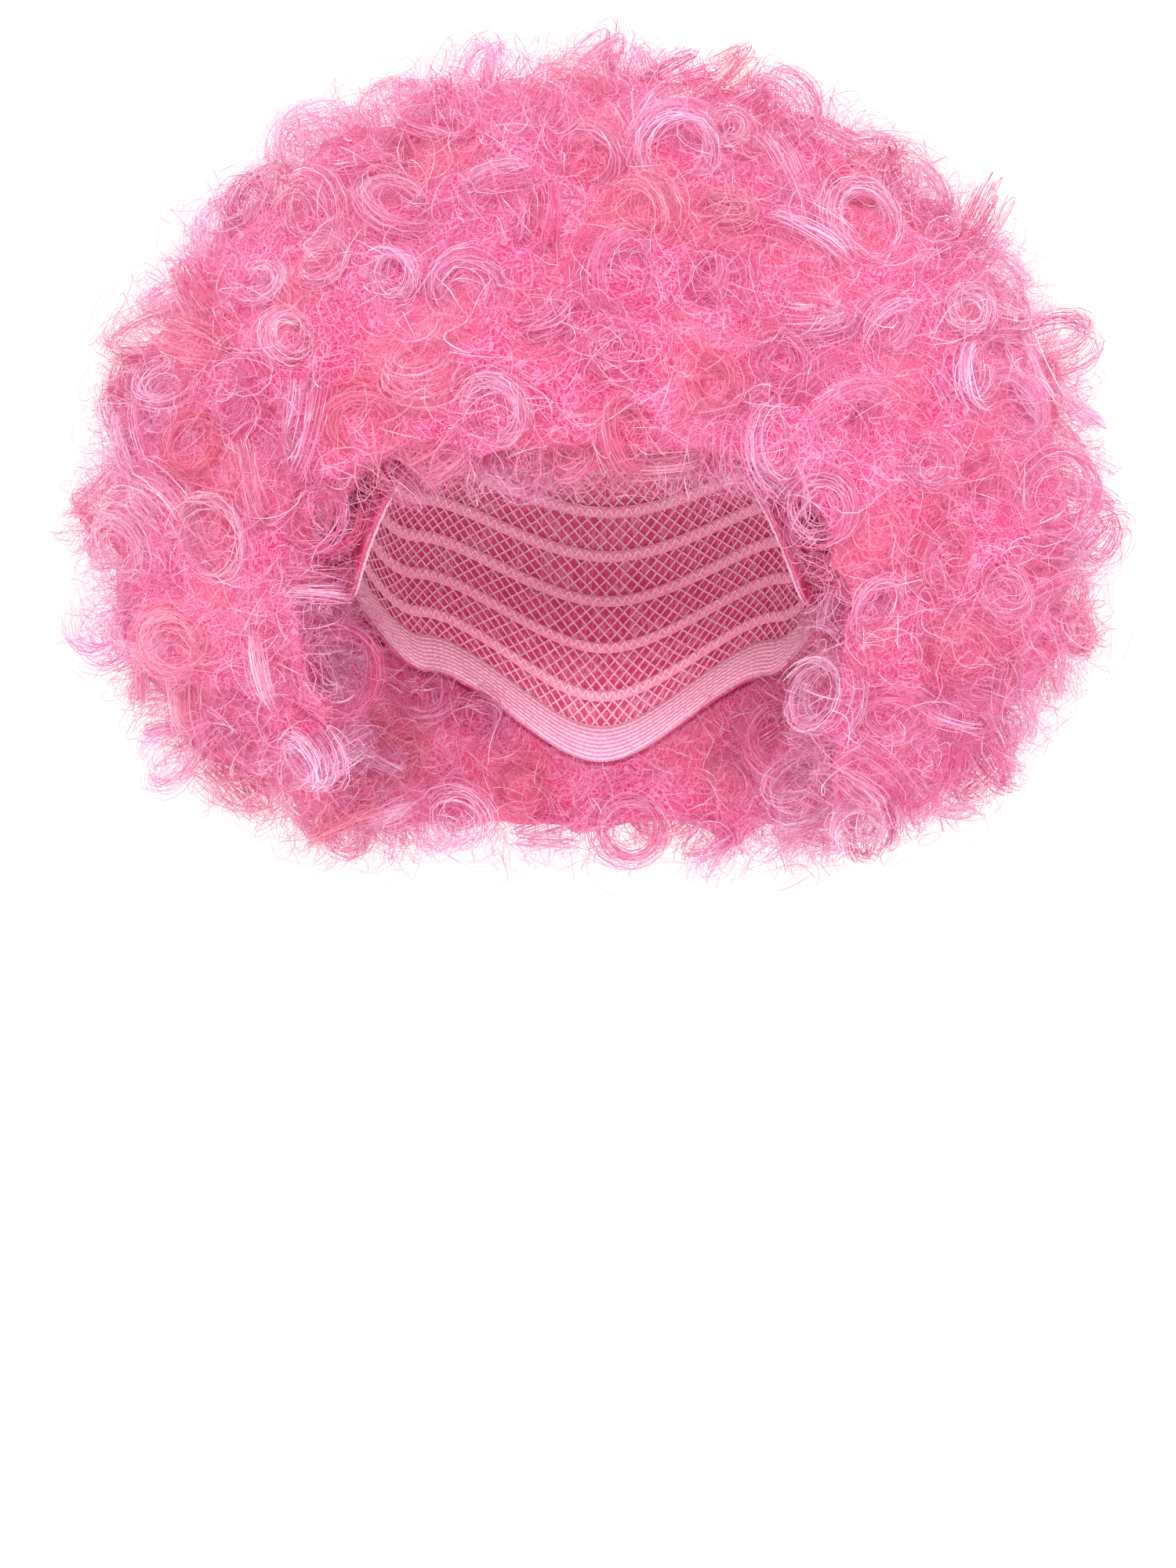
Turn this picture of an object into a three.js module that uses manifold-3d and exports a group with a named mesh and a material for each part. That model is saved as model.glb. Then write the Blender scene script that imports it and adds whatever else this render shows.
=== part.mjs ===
// Clown wig: a wide afro of pink ringlets on a stretch net cap. Millimetres, +Z up.
// The origin is the top of the wearer's head, where the cap sits. The face looks along -Y,
// and the wearer's left hand is on the +X side.
import * as THREE from 'three';
import { mergeVertices } from 'three/addons/utils/BufferGeometryUtils.js';
import Module from 'manifold-3d';

const wasm = await Module();
wasm.setup();

// The head that the cap fits. A drop is measured down from the top of the head.
const headWidth = 152;
const headLength = 192;
const templeLevel = 85; // drop of the head's widest level
const jawWidth = 128; // width between the hair below the ears
const napeTuck = 20; // how far the nape lies in front of the back of the head

// Net cap, and the elastic that gathers its hem
const capWall = 1.2;
const foreheadDrop = 52;
const earTabDrop = 98; // tabs that reach down in front of the ears
const earDrop = 92;
const napeDrop = 148;
const elasticWidth = 11;
const elasticWall = 1.4;
const seatGap = 0.3; // left between pieces that are sewn together

// The mass of hair, measured over the tops of its ringlets
const hairWidth = 320;
const hairRise = 72; // above the top of the head
const hairDrop = 182;
const hairFront = 132; // forward of the origin
const hairBack = 163;

// Opening that the face looks out of, measured between its ringlets
const faceWidth = 134;
const chinWidth = 122; // the same opening at the bottom of the hair
const fringeDrop = 68;
const fringeCorner = 36; // radius of its upper corners

// Ringlets, each varied by a number of its own, which counts on by seedStep from row to row
const seedStep = 100;
const curlWidth = 40;
const curlEye = 12; // the hole in the middle of a ringlet
const eyeDepth = 8;
const curlSink = 5; // how deep a ringlet is rooted in the mass behind it
const curlRim = 0.65; // where the top of its lock lies, from the eye to the outside
const smallestCurl = 0.85; // shares of curlWidth that the ringlets vary between
const largestCurl = 1.05;
const maxCurlTilt = 38; // degrees
const curlGap = 4; // between one ringlet and the next
const curlStray = 0.15; // share of the spacing that a ringlet strays from its even place
const curlRise = 9; // how far a ringlet stands out of the mass behind it
const fringeOverhang = 7; // how far a ringlet hangs into the face opening

const curlSpacing = curlWidth + curlGap;

// Where one sewn section of hair ends and the next begins
const crownSeamDrop = 18;
const fringeSeamDrop = 78;
const napeSeamDrop = 112;
const fullTurn = 360; // degrees, counted round from the face
const fringeTurn = 50;
const sideTurn = 128;

// Facets
const capSides = 36;
const capRows = 7;
const domeCrowding = 1.6; // gathers the cap's rows towards its top
const neckRows = 4;
const hairSides = 26;
const curlSides = 7;
const cornerSteps = 6;
const sliceSteps = 4;

// Outline of the hair from top to bottom, as shares of its height and of its reach each way
const hairOutline = [
  { level: 0.015, wide: 0.26, fore: 0.26, back: 0.26 },
  { level: 0.05, wide: 0.44, fore: 0.44, back: 0.43 },
  { level: 0.1, wide: 0.57, fore: 0.58, back: 0.56 },
  { level: 0.165, wide: 0.7, fore: 0.71, back: 0.68 },
  { level: 0.24, wide: 0.82, fore: 0.83, back: 0.79 },
  { level: 0.33, wide: 0.9, fore: 0.93, back: 0.88 },
  { level: 0.43, wide: 0.965, fore: 0.99, back: 0.95 },
  { level: 0.58, wide: 1.0, fore: 0.95, back: 1.0 },
  { level: 0.72, wide: 0.98, fore: 0.85, back: 0.985 },
  { level: 0.82, wide: 0.9, fore: 0.74, back: 0.92 },
  { level: 0.9, wide: 0.78, fore: 0.62, back: 0.81 },
  { level: 0.96, wide: 0.62, fore: 0.5, back: 0.69 },
  { level: 1.0, wide: 0.47, fore: 0.4, back: 0.58 },
];

// Hem of the cap round half the head, in degrees from the face
const capHem = [
  { turn: 0, drop: foreheadDrop },
  { turn: 34, drop: foreheadDrop },
  { turn: 66, drop: earTabDrop },
  { turn: 92, drop: earDrop },
  { turn: 130, drop: (earDrop + napeDrop) / 2 },
  { turn: 180, drop: napeDrop },
];

const pink = new THREE.Color(0.93, 0.22, 0.42);
const netColour = new THREE.Color(0.8, 0.3, 0.45);
const elasticColour = new THREE.Color(0.86, 0.5, 0.6);

const rad = THREE.MathUtils.degToRad;
const mix = THREE.MathUtils.lerp;
const ease = (share) => THREE.MathUtils.smoothstep(share, 0, 1);
const scatter = (seed) => THREE.MathUtils.seededRandom(seed);

// Value of one column of a table, where another column has the value at
function lookUp(table, key, at, column, blend = (share) => share) {
  const next = table.findIndex((row) => row[key] >= at);
  if (next === 0) return table[0][column];
  if (next < 0) return table[table.length - 1][column];
  const [before, after] = [table[next - 1], table[next]];
  const share = (at - before[key]) / (after[key] - before[key]);
  return mix(before[column], after[column], blend(share));
}

// A closed surface through rings of points, ended by two poles or else joined last to first.
// Each quad is split along its shorter diagonal, so surfaces side by side are split alike.
function skin(rings, startPole, endPole) {
  const count = rings[0].length;
  const points = rings.flat();
  const faces = [];
  const strips = startPole ? rings.length - 1 : rings.length;
  for (let ring = 0; ring < strips; ring += 1) {
    const upper = ring * count;
    const lower = ((ring + 1) % rings.length) * count;
    for (let i = 0; i < count; i += 1) {
      const j = (i + 1) % count;
      const [a, b, c, d] = [upper + i, lower + i, lower + j, upper + j];
      const falling = points[a].distanceTo(points[c]) <= points[b].distanceTo(points[d]);
      faces.push(...(falling ? [a, b, c, a, c, d] : [a, b, d, b, c, d]));
    }
  }
  if (startPole) {
    const last = (rings.length - 1) * count;
    const start = points.push(startPole) - 1;
    const end = points.push(endPole) - 1;
    for (let i = 0; i < count; i += 1) {
      const j = (i + 1) % count;
      faces.push(start, i, j, end, last + j, last + i);
    }
  }
  return new THREE.BufferGeometry().setFromPoints(points).setIndex(faces);
}

function toSolid(geometry) {
  const bare = geometry.clone();
  bare.deleteAttribute('normal');
  bare.deleteAttribute('uv');
  const welded = mergeVertices(bare, 1e-4);
  const mesh = new wasm.Mesh({
    numProp: 3,
    vertProperties: welded.attributes.position.array,
    triVerts: Uint32Array.from(welded.index.array),
  });
  return new wasm.Manifold(mesh);
}

function toGeometry(solid) {
  const mesh = solid.getMesh();
  const geometry = new THREE.BufferGeometry();
  geometry.setAttribute('position', new THREE.BufferAttribute(mesh.vertProperties, 3));
  geometry.setIndex(new THREE.BufferAttribute(mesh.triVerts, 1));
  geometry.computeVertexNormals();
  return geometry;
}

// A point of the head, which is half an ellipsoid with a neck that narrows to the jaw and nape
function headPoint(turn, drop) {
  const dome = Math.min(drop / templeLevel, 1);
  const shrink = Math.sqrt(1 - (1 - dome) ** 2);
  const tuck = ease(THREE.MathUtils.clamp((drop - templeLevel) / (napeDrop - templeLevel), 0, 1));
  const behind = turn > Math.PI / 2 && turn < 1.5 * Math.PI;
  const halfWidth = mix(headWidth, jawWidth, tuck) / 2;
  const halfLength = headLength / 2 - (behind ? napeTuck * tuck : 0);
  const across = shrink * halfWidth * Math.sin(turn);
  return new THREE.Vector3(across, -shrink * halfLength * Math.cos(turn), -drop);
}

// The same point moved straight out from the head
function capPoint(turn, drop, offset) {
  const step = 0.01;
  const point = headPoint(turn, drop);
  const round = headPoint(turn + step, drop).sub(headPoint(turn - step, drop));
  const down = headPoint(turn, drop + step).sub(headPoint(turn, drop - step));
  return point.add(down.cross(round).normalize().multiplyScalar(offset));
}

const turns = (sides) => Array.from({ length: sides }, (_, i) => (2 * Math.PI * i) / sides);

function hemDrop(turn) {
  const degrees = THREE.MathUtils.radToDeg(turn);
  return lookUp(capHem, 'turn', Math.min(degrees, fullTurn - degrees), 'drop', ease);
}

// A ring of the cap where the drop follows from the hem's drop at each turn
function capRing(offset, dropOf) {
  return turns(capSides).map((turn) => capPoint(turn, dropOf(hemDrop(turn)), offset));
}

// Rings from the top of the cap down to its hem, the last two on the edges of the elastic
function capRings(offset) {
  const rings = [];
  for (let row = 1; row <= capRows; row += 1) {
    const share = (row / capRows) ** domeCrowding;
    rings.push(capRing(offset, (hem) => (hem - elasticWidth) * share));
  }
  rings.push(capRing(offset, (hem) => hem));
  return rings;
}

const capTop = (offset) => new THREE.Vector3(0, 0, offset);

function netCap() {
  const rings = [...capRings(capWall), ...capRings(0).reverse()];
  return toSolid(skin(rings, capTop(capWall), capTop(0)));
}

// A band that lies inside the cap along its hem
function hemElastic() {
  const near = capRings(-seatGap).slice(-2);
  const far = capRings(-seatGap - elasticWall).slice(-2);
  return toSolid(skin([...near, ...far.reverse()]));
}

// All that the hair stays clear of: the head, its cap and the neck below them
function headHollow() {
  const offset = capWall + seatGap;
  const floor = hairDrop + curlWidth;
  const rings = capRings(offset);
  for (let row = 1; row <= neckRows; row += 1) {
    rings.push(capRing(offset, (hem) => mix(hem, floor, row / neckRows)));
  }
  const bottom = new THREE.Vector3(0, 0, -floor);
  return toSolid(skin(rings, capTop(offset), bottom));
}

// The mass behind the ringlets
const massTop = hairRise - curlRise;
const massHeight = hairRise + hairDrop - 2 * curlRise;
const massCentre = (hairBack - hairFront) / 2;
const massDepth = (hairBack + hairFront) / 2 - curlRise;
const massWidth = hairWidth / 2 - curlRise;

const massLevel = (height) => (massTop - height) / massHeight;

function massPoint(turn, level) {
  const reach = Math.cos(turn) > 0 ? 'fore' : 'back';
  const share = Math.min(level / hairOutline[0].level, 1);
  const wide = share * massWidth * lookUp(hairOutline, 'level', level, 'wide');
  const deep = share * massDepth * lookUp(hairOutline, 'level', level, reach);
  const y = massCentre - deep * Math.cos(turn);
  return new THREE.Vector3(wide * Math.sin(turn), y, massTop - massHeight * level);
}

function massNormal(turn, level) {
  if (level === 0) return new THREE.Vector3(0, 0, 1);
  const step = 0.02;
  const round = massPoint(turn + step, level).sub(massPoint(turn - step, level));
  const down = massPoint(turn, level + step).sub(massPoint(turn, Math.max(level - step, 0)));
  return down.cross(round).normalize();
}

function hairMass() {
  const rings = hairOutline.map((row) => turns(hairSides).map((turn) => massPoint(turn, row.level)));
  const top = new THREE.Vector3(0, massCentre, massTop);
  const bottom = new THREE.Vector3(0, massCentre, massTop - massHeight);
  return toSolid(skin(rings, top, bottom));
}

// Outline of the face opening, drawn across X and up Z, grown by a margin
function faceOutline(margin) {
  const halfTop = faceWidth / 2 + margin;
  const halfBottom = chinWidth / 2 + margin;
  const top = margin - fringeDrop;
  const floor = -hairDrop - curlWidth;
  const outline = new THREE.Shape();
  outline.moveTo(-halfBottom, floor);
  outline.lineTo(-halfBottom, -hairDrop);
  outline.lineTo(-halfTop, top - fringeCorner);
  outline.quadraticCurveTo(-halfTop, top, fringeCorner - halfTop, top);
  outline.lineTo(halfTop - fringeCorner, top);
  outline.quadraticCurveTo(halfTop, top, halfTop, top - fringeCorner);
  outline.lineTo(halfBottom, -hairDrop);
  outline.lineTo(halfBottom, floor);
  return outline;
}

function faceOpening() {
  const outline = faceOutline(fringeOverhang);
  const depth = hairFront + curlWidth;
  const options = { depth, curveSegments: cornerSteps, bevelEnabled: false };
  const geometry = new THREE.ExtrudeGeometry(outline, options);
  geometry.rotateX(Math.PI / 2);
  return toSolid(geometry);
}

// A ringlet seen end on is a round of hair with an eye in the middle, whose top stands curlRise
// out of the surface behind it
function ringlet(point, outward, seed) {
  const radius = (curlWidth / 2) * mix(smallestCurl, largestCurl, scatter(seed));
  const rimRadius = mix(curlEye / 2, radius, curlRim);
  const tilt = rad(mix(0, maxCurlTilt, scatter(seed + 0.3)));
  const profile = [
    new THREE.Vector2(0, -curlSink),
    new THREE.Vector2(radius, -curlSink),
    new THREE.Vector2(rimRadius, curlRise),
    new THREE.Vector2(0, curlRise - eyeDepth),
  ];
  const geometry = new THREE.LatheGeometry(profile, curlSides);
  geometry.rotateY(2 * Math.PI * scatter(seed + 0.5));
  geometry.rotateX(tilt);
  geometry.rotateY(2 * Math.PI * scatter(seed + 0.7));
  const facing = new THREE.Quaternion().setFromUnitVectors(new THREE.Vector3(0, 1, 0), outward);
  geometry.applyQuaternion(facing);
  const top = curlRise * Math.cos(tilt) + rimRadius * Math.sin(tilt);
  const centre = point.clone().addScaledVector(outward, curlRise - top);
  geometry.translate(centre.x, centre.y, centre.z);
  return toSolid(geometry);
}

// Levels of the rows of ringlets, one curl apart down the side of the mass
function curlLevels() {
  const levels = [0];
  const samples = 400;
  let walked = 0;
  for (let i = 1; i <= samples; i += 1) {
    const here = massPoint(Math.PI / 2, i / samples);
    walked += here.distanceTo(massPoint(Math.PI / 2, (i - 1) / samples));
    if (walked < curlSpacing) continue;
    levels.push(i / samples);
    walked = 0;
  }
  return levels;
}

// Whether a point lies in the face opening or among the ringlets that frame it
function inFaceOpening(point) {
  const share = THREE.MathUtils.clamp((-point.z - fringeDrop) / (hairDrop - fringeDrop), 0, 1);
  const halfWidth = mix(faceWidth, chinWidth, share) / 2 + curlWidth;
  const top = curlWidth - fringeDrop;
  return point.y < massCentre && point.z < top && Math.abs(point.x) < halfWidth;
}

function curlsOnMass() {
  const curls = [];
  curlLevels().forEach((level, row) => {
    const across = massPoint(Math.PI / 2, level).x;
    const along = massPoint(Math.PI, level).y - massCentre;
    const girth = Math.PI * Math.SQRT2 * Math.hypot(across, along);
    const count = Math.max(1, Math.round(girth / curlSpacing));
    for (let i = 0; i < count; i += 1) {
      const seed = seedStep * (row + 1) + i;
      const stray = mix(-curlStray, curlStray, scatter(seed + 0.9));
      const turn = (2 * Math.PI * ((i + row / 2 + stray + count) % count)) / count;
      const point = massPoint(turn, level);
      if (inFaceOpening(point)) continue;
      curls.push(ringlet(point, massNormal(turn, level), seed));
    }
  });
  return curls;
}

// A row of ringlets that frames the face and hangs into its opening
function curlsRoundFace() {
  const setBack = curlWidth / 2;
  const outline = faceOutline(setBack);
  const count = Math.round(outline.getLength() / curlSpacing);
  const curls = [];
  outline.getSpacedPoints(count).forEach((spot, i) => {
    const level = massLevel(spot.y);
    if (level > hairOutline[hairOutline.length - 2].level) return;
    const wide = massWidth * lookUp(hairOutline, 'level', level, 'wide');
    const deep = massDepth * lookUp(hairOutline, 'level', level, 'fore');
    const y = massCentre - deep * Math.sqrt(1 - (spot.x / wide) ** 2);
    const outward = new THREE.Vector3(spot.x / wide, -1, 0).normalize();
    curls.push(ringlet(new THREE.Vector3(spot.x, y, spot.y), outward, i + 1));
  });
  return curls;
}

// Space of one section: a slice of turns between two drops, drawn in from its neighbours
function sectionSpace(fromTurn, toTurn, topDrop, bottomDrop) {
  const reach = 2 * hairWidth;
  const middle = rad((fromTurn + toTurn) / 2);
  const half = rad((toTurn - fromTurn) / 2);
  const shift = seatGap / 2 / Math.sin(half);
  const slice = new THREE.Shape([new THREE.Vector2(0, 0)]);
  for (let i = 0; i <= sliceSteps; i += 1) {
    const turn = middle + half * ((2 * i) / sliceSteps - 1);
    slice.lineTo(reach * Math.sin(turn), -reach * Math.cos(turn));
  }
  const depth = bottomDrop - topDrop - seatGap;
  const geometry = new THREE.ExtrudeGeometry(slice, { depth, bevelEnabled: false });
  geometry.translate(shift * Math.sin(middle), -shift * Math.cos(middle), seatGap / 2 - bottomDrop);
  return toSolid(geometry);
}

// The largest body of a cut, because a cut ringlet leaves crumbs that nothing carries
function mainBody(solid) {
  const bodies = solid.decompose();
  return bodies.reduce((best, body) => (body.volume() > best.volume() ? body : best));
}

function hairSections() {
  const lowest = hairDrop + curlWidth;
  let hair = hairMass().subtract(faceOpening());
  for (const curl of [...curlsOnMass(), ...curlsRoundFace()]) {
    hair = hair.add(curl);
  }
  hair = hair.subtract(headHollow());
  const above = new THREE.BoxGeometry(2 * hairWidth, 2 * hairWidth, 2 * hairRise);
  above.translate(0, 0, hairRise + seatGap / 2 - crownSeamDrop);
  const spaces = {
    hair_crown: toSolid(above),
    hair_fringe: sectionSpace(-fringeTurn, fringeTurn, crownSeamDrop, fringeSeamDrop),
    hair_side_left: sectionSpace(fringeTurn, sideTurn, crownSeamDrop, lowest)
      .add(sectionSpace(0, sideTurn, fringeSeamDrop, lowest)),
    hair_side_right: sectionSpace(-sideTurn, -fringeTurn, crownSeamDrop, lowest)
      .add(sectionSpace(-sideTurn, 0, fringeSeamDrop, lowest)),
    hair_back: sectionSpace(sideTurn, fullTurn - sideTurn, crownSeamDrop, napeSeamDrop),
    hair_nape: sectionSpace(sideTurn, fullTurn - sideTurn, napeSeamDrop, lowest),
  };
  return Object.entries(spaces).map(([name, space]) => [name, mainBody(hair.intersect(space))]);
}

function addPiece(group, name, solid, material) {
  const mesh = new THREE.Mesh(toGeometry(solid), material);
  mesh.name = name;
  group.add(mesh);
}

const wig = new THREE.Group();
const net = new THREE.MeshStandardMaterial({ color: netColour, roughness: 0.9, metalness: 0 });
const elastic = new THREE.MeshStandardMaterial({ color: elasticColour, roughness: 0.8, metalness: 0 });
addPiece(wig, 'net_cap', netCap(), net);
addPiece(wig, 'hem_elastic', hemElastic(), elastic);
for (const [name, solid] of hairSections()) {
  const fibre = new THREE.MeshStandardMaterial({ color: pink, roughness: 0.55, metalness: 0 });
  addPiece(wig, name, solid, fibre);
}

export default wig;
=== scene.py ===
# Looks of the clown wig. Metres, +Z up, the origin at the top of the cap's inside, and the
# opening towards -Y. Left is at +X.
import math

import bpy
import numpy as np
from mathutils import Matrix, Vector, noise
from mathutils.bvhtree import BVHTree
from mathutils.kdtree import KDTree


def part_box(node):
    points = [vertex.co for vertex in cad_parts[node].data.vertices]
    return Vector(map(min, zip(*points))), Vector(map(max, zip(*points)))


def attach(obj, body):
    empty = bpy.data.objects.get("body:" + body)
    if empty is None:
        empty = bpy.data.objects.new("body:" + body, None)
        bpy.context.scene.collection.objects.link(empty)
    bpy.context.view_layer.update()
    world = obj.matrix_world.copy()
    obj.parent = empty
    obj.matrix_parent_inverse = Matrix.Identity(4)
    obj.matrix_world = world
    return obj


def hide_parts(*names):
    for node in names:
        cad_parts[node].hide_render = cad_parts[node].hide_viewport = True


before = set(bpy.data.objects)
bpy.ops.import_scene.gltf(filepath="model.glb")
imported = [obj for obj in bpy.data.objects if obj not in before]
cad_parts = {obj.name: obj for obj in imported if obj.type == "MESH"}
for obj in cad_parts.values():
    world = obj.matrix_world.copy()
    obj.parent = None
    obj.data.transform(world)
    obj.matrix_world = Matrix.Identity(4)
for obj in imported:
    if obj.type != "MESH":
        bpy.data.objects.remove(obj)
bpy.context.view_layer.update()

MM = 0.001

# Sections of hair, which meet where the CAD's solids do
HAIR = [
    "hair_crown", "hair_fringe", "hair_side_left", "hair_side_right", "hair_back", "hair_nape",
]
CROWN_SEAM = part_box("hair_crown")[0].z
FRINGE_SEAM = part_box("hair_fringe")[0].z
NAPE_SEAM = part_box("hair_back")[0].z
FRINGE_TURN = math.radians(50)
SIDE_TURN = math.radians(128)

# The form behind the ringlets
FORM_VOXEL = 4 * MM
FORM_SMOOTHING = 14
CAP_CLEARANCE = 2.5 * MM  # between the deep hair and the cap
CAP_NEAR = 7 * MM  # hair nearer than this to the cap faces it
DEEP_HAIR = 9 * MM  # how far the deep hair lies behind the form
DEEP_LUMPS = 3 * MM
LUMP_SIZE = 11 * MM
DEEP_SMOOTHING = 4
COIL_RELIEF = 4 * MM  # how far its ringlets stand out of it
RIDGE_PLACE = 0.85  # where a ringlet stands highest, as a share of its radius
RIDGE_SPREAD = 0.4

# Ringlets, each a coil of single strands in a few clumps
RINGLET_SPACING = 23.5 * MM
RINGLET_TRIES = 60000
RINGLET_RADIUS = (7 * MM, 14 * MM)
RINGLET_TURNS = (1.6, 2.5)
RINGLET_DEPTH = (10 * MM, 17 * MM)
RINGLET_RISE = (-1 * MM, 5 * MM)
RINGLET_TIP = (0.5, 0.95)  # radius at the tip as a share of the full one
RINGLET_TILT = 65  # degrees
RINGLET_PALENESS = (0.12, 0.95)
TIP_POWER = 1.5  # how late along the coil its radius changes
RISE_POWER = 0.75  # how early along the coil it rises
LOCK_RADIUS = (1.8 * MM, 4.2 * MM)
LOCK_ENDS = 0.75  # share of that radius at the ends of a lock
LOCK_SWELL = 0.5  # share added in its middle
LOCK_MOST = 1.4  # farthest place of a strand, as a share of the lock's radius
CLUMPS = 5
CLUMP_PLACE = (0.1, 1.0)  # as a share of the lock's radius
STRANDS_PER_RINGLET = 43
STRAND_TURNS = (0.6, 1.3)
STRAND_POINTS = 15
STRAND_WIDTH = (0.2 * MM, 0.36 * MM)
STRAND_TWIST = 1.6  # how far a strand turns round its lock, in radians
STRAND_PALENESS = 0.16  # spread of the shade within a ringlet
STRAND_START = 0.7  # power that moves the strands' starts towards the tip
STRAND_FACING = (0.7, 0.4, 0.35, 0.3)  # weights of side, axis, outward way and normal
LOOSENESS = 0.3  # of the strands round their clump
ANGLE_SPREAD = 1.2 * LOOSENESS  # radians
SHARE_SPREAD = 0.6 * LOOSENESS
RADIUS_SPREAD = 0.25 * LOOSENESS
CENTRE_SPREAD = 2.5 * MM * LOOSENESS
WANDER = 0.7 * MM
WANDER_WAVES = (0.8, 1.7)

# Loose curls between and over the ringlets
FRIZZ_COUNT = 17800
FRIZZ_POINTS = 12
FRIZZ_RADIUS = (2.5 * MM, 10 * MM)
FRIZZ_TURNS = (0.35, 1.1)
FRIZZ_TOP = (-5 * MM, 8.5 * MM)
FRIZZ_WIDTH = (0.13 * MM, 0.33 * MM)
# Frizz shades run darker low in the hair, as painted shade.
FRIZZ_PALENESS = (0.12, 0.85)  # of the lowest curls and of the highest
EDGE_COUNT = 1250  # short curls along the hem
EDGE_OPEN = 0.75  # how open the hair is where they end
EDGE_RADIUS = (2.5 * MM, 8 * MM)
EDGE_TOP = (-2 * MM, 8 * MM)
# Darker for the lowest edge curls, as painted shade.
EDGE_PALENESS = (0.05, 0.7)
STRAY_COUNT = 3000
STRAY_POINTS = 14
STRAY_RADIUS = (4 * MM, 11 * MM)
STRAY_TURNS = (0.4, 1.2)
STRAY_TOP = (5 * MM, 12 * MM)
STRAY_WIDTH = (0.13 * MM, 0.22 * MM)
# Darker for the lowest strays, as painted shade.
STRAY_PALENESS = (0.45, 0.7)
CURL_TILT = 90  # degrees
CURL_FACING = 0.6  # weight of the way outward from its axis
CURL_OPENING = 0.35  # most that a loose curl widens or narrows
CURL_PITCH = 4 * MM
CURL_PALENESS = 0.1  # spread of the shade at one height

# The head that the cap fits, and the hem of the cap, as in the CAD
HEAD_WIDTH = 152 * MM
HEAD_LENGTH = 192 * MM
TEMPLE_LEVEL = 85 * MM
JAW_WIDTH = 128 * MM
NAPE_TUCK = 20 * MM
NAPE_DROP = -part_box("net_cap")[0].z
HEM_TURNS = np.radians([0, 34, 66, 92, 130, 180])
HEM_DROPS = np.array([52, 52, 98, 92, 120, 148]) * MM
CAP_WALL = 1.2 * MM
ELASTIC_WIDTH = 11 * MM
ELASTIC_WALL = 1.4 * MM
SEAT_GAP = 0.3 * MM
# Outline of the elastic: the place across the band and the depth, each as a share
ELASTIC_OUTLINE = (
    (0, 0), (0, 0.6), (0.06, 1), (0.35, 0.94), (0.65, 0.94), (0.94, 1), (1, 0.6), (1, 0),
)

# Net, wefts and gathers of the cap
CAP_SIDES = 144
CAP_ROWS = 36
DOME_CROWDING = 1.6
DOME_TOP = 0.001  # share of the drop at its top
NET_THREADS = 116  # each way round
NET_POINTS = 56
NET_WIDTH = 0.55 * MM
NET_INSETS = (0.35 * MM, 0.55 * MM)  # of the two families
NET_LEAN = 1 / (85 * MM)  # turn of a thread for each metre down
NET_TOP = 6 * MM
WEFTS = 10
WEFT_MARGIN = 0.6  # between the last weft and the elastic, in wefts
WEFT_CROWDING = 1.2
WEFT_INSET = 0.7 * MM
WEFT_POINTS = 181
WEFT_WIDTH = 3.6 * MM
WEFT_ARCH = 0.12
STITCH_POINTS = 901
STITCH_WIDTH = 0.5 * MM
STITCH_INSET = 1.3 * MM
STITCH_REACH = 1.3 * MM
STITCHES = 150
GATHERS = 190
GATHER_DEPTH = 0.35 * MM
ELASTIC_SIDES = 760

# Rows of the fibre's bake map: shades from the deepest to the palest, once for each warmth of
# the dye. A row holds the fibres of one lock.
SHADES = 24
WARMTHS = 3
FIBRES = 13
CORAL_MOST = 0.55  # share of coral at the greatest warmth
CORAL_PATCH = 30 * MM
WARMTH_GAIN = 1.8
WARMTH_MOST = 0.99  # just under 1, so that no hair leaves the map
MAP_LENGTH = (0.05, 0.95)  # stretch of the map that a strand runs along
HAIR_PLACE = (0.08, 0.92)  # where across its row a hair lies
HAIR_REACH = 0.02  # to each side of that place
HAIR_TAPER = (0.1, 0.93)  # stretch of a half wave that a hair's width follows
THREAD_REACH = 0.42  # to each side of its row's middle

rng = np.random.default_rng(11)


def between(span, count):
    """Random numbers from span's first value to its last."""
    return rng.uniform(span[0], span[1], count)


def unit(vectors):
    """The vectors at length 1."""
    return vectors / np.maximum(np.linalg.norm(vectors, axis=-1, keepdims=True), 1e-12)


def square_to(axes):
    """Two directions square to each axis and to each other."""
    steep = np.abs(axes[:, 2:]) > 0.9
    helper = np.where(steep, [1.0, 0.0, 0.0], [0.0, 0.0, 1.0])
    first = unit(np.cross(axes, helper))
    return first, np.cross(axes, first)


def tilted(axes, degrees):
    """The axes, each tilted by a random angle up to degrees, towards a random side."""
    first, second = square_to(axes)
    side = rng.uniform(0, 2 * math.pi, (len(axes), 1))
    tilt = np.radians(degrees) * np.sqrt(rng.uniform(0, 1, (len(axes), 1)))
    sideways = first * np.cos(side) + second * np.sin(side)
    return axes * np.cos(tilt) + sideways * np.sin(tilt)


def section_names(points):
    """The section of hair that each point belongs to."""
    turn = np.abs(np.arctan2(points[:, 0], -points[:, 1]))
    names = np.where(points[:, 0] > 0, "hair_side_left", "hair_side_right").astype("U20")
    names[(turn < FRINGE_TURN) & (points[:, 2] > FRINGE_SEAM)] = "hair_fringe"
    names[(turn > SIDE_TURN) & (points[:, 2] > NAPE_SEAM)] = "hair_back"
    names[(turn > SIDE_TURN) & (points[:, 2] <= NAPE_SEAM)] = "hair_nape"
    names[points[:, 2] > CROWN_SEAM] = "hair_crown"
    return names


def new_object(name, data):
    """An object of this mesh, camera or light, linked into the scene."""
    made = bpy.data.objects.new(name, data)
    bpy.context.scene.collection.objects.link(made)
    return made


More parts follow.
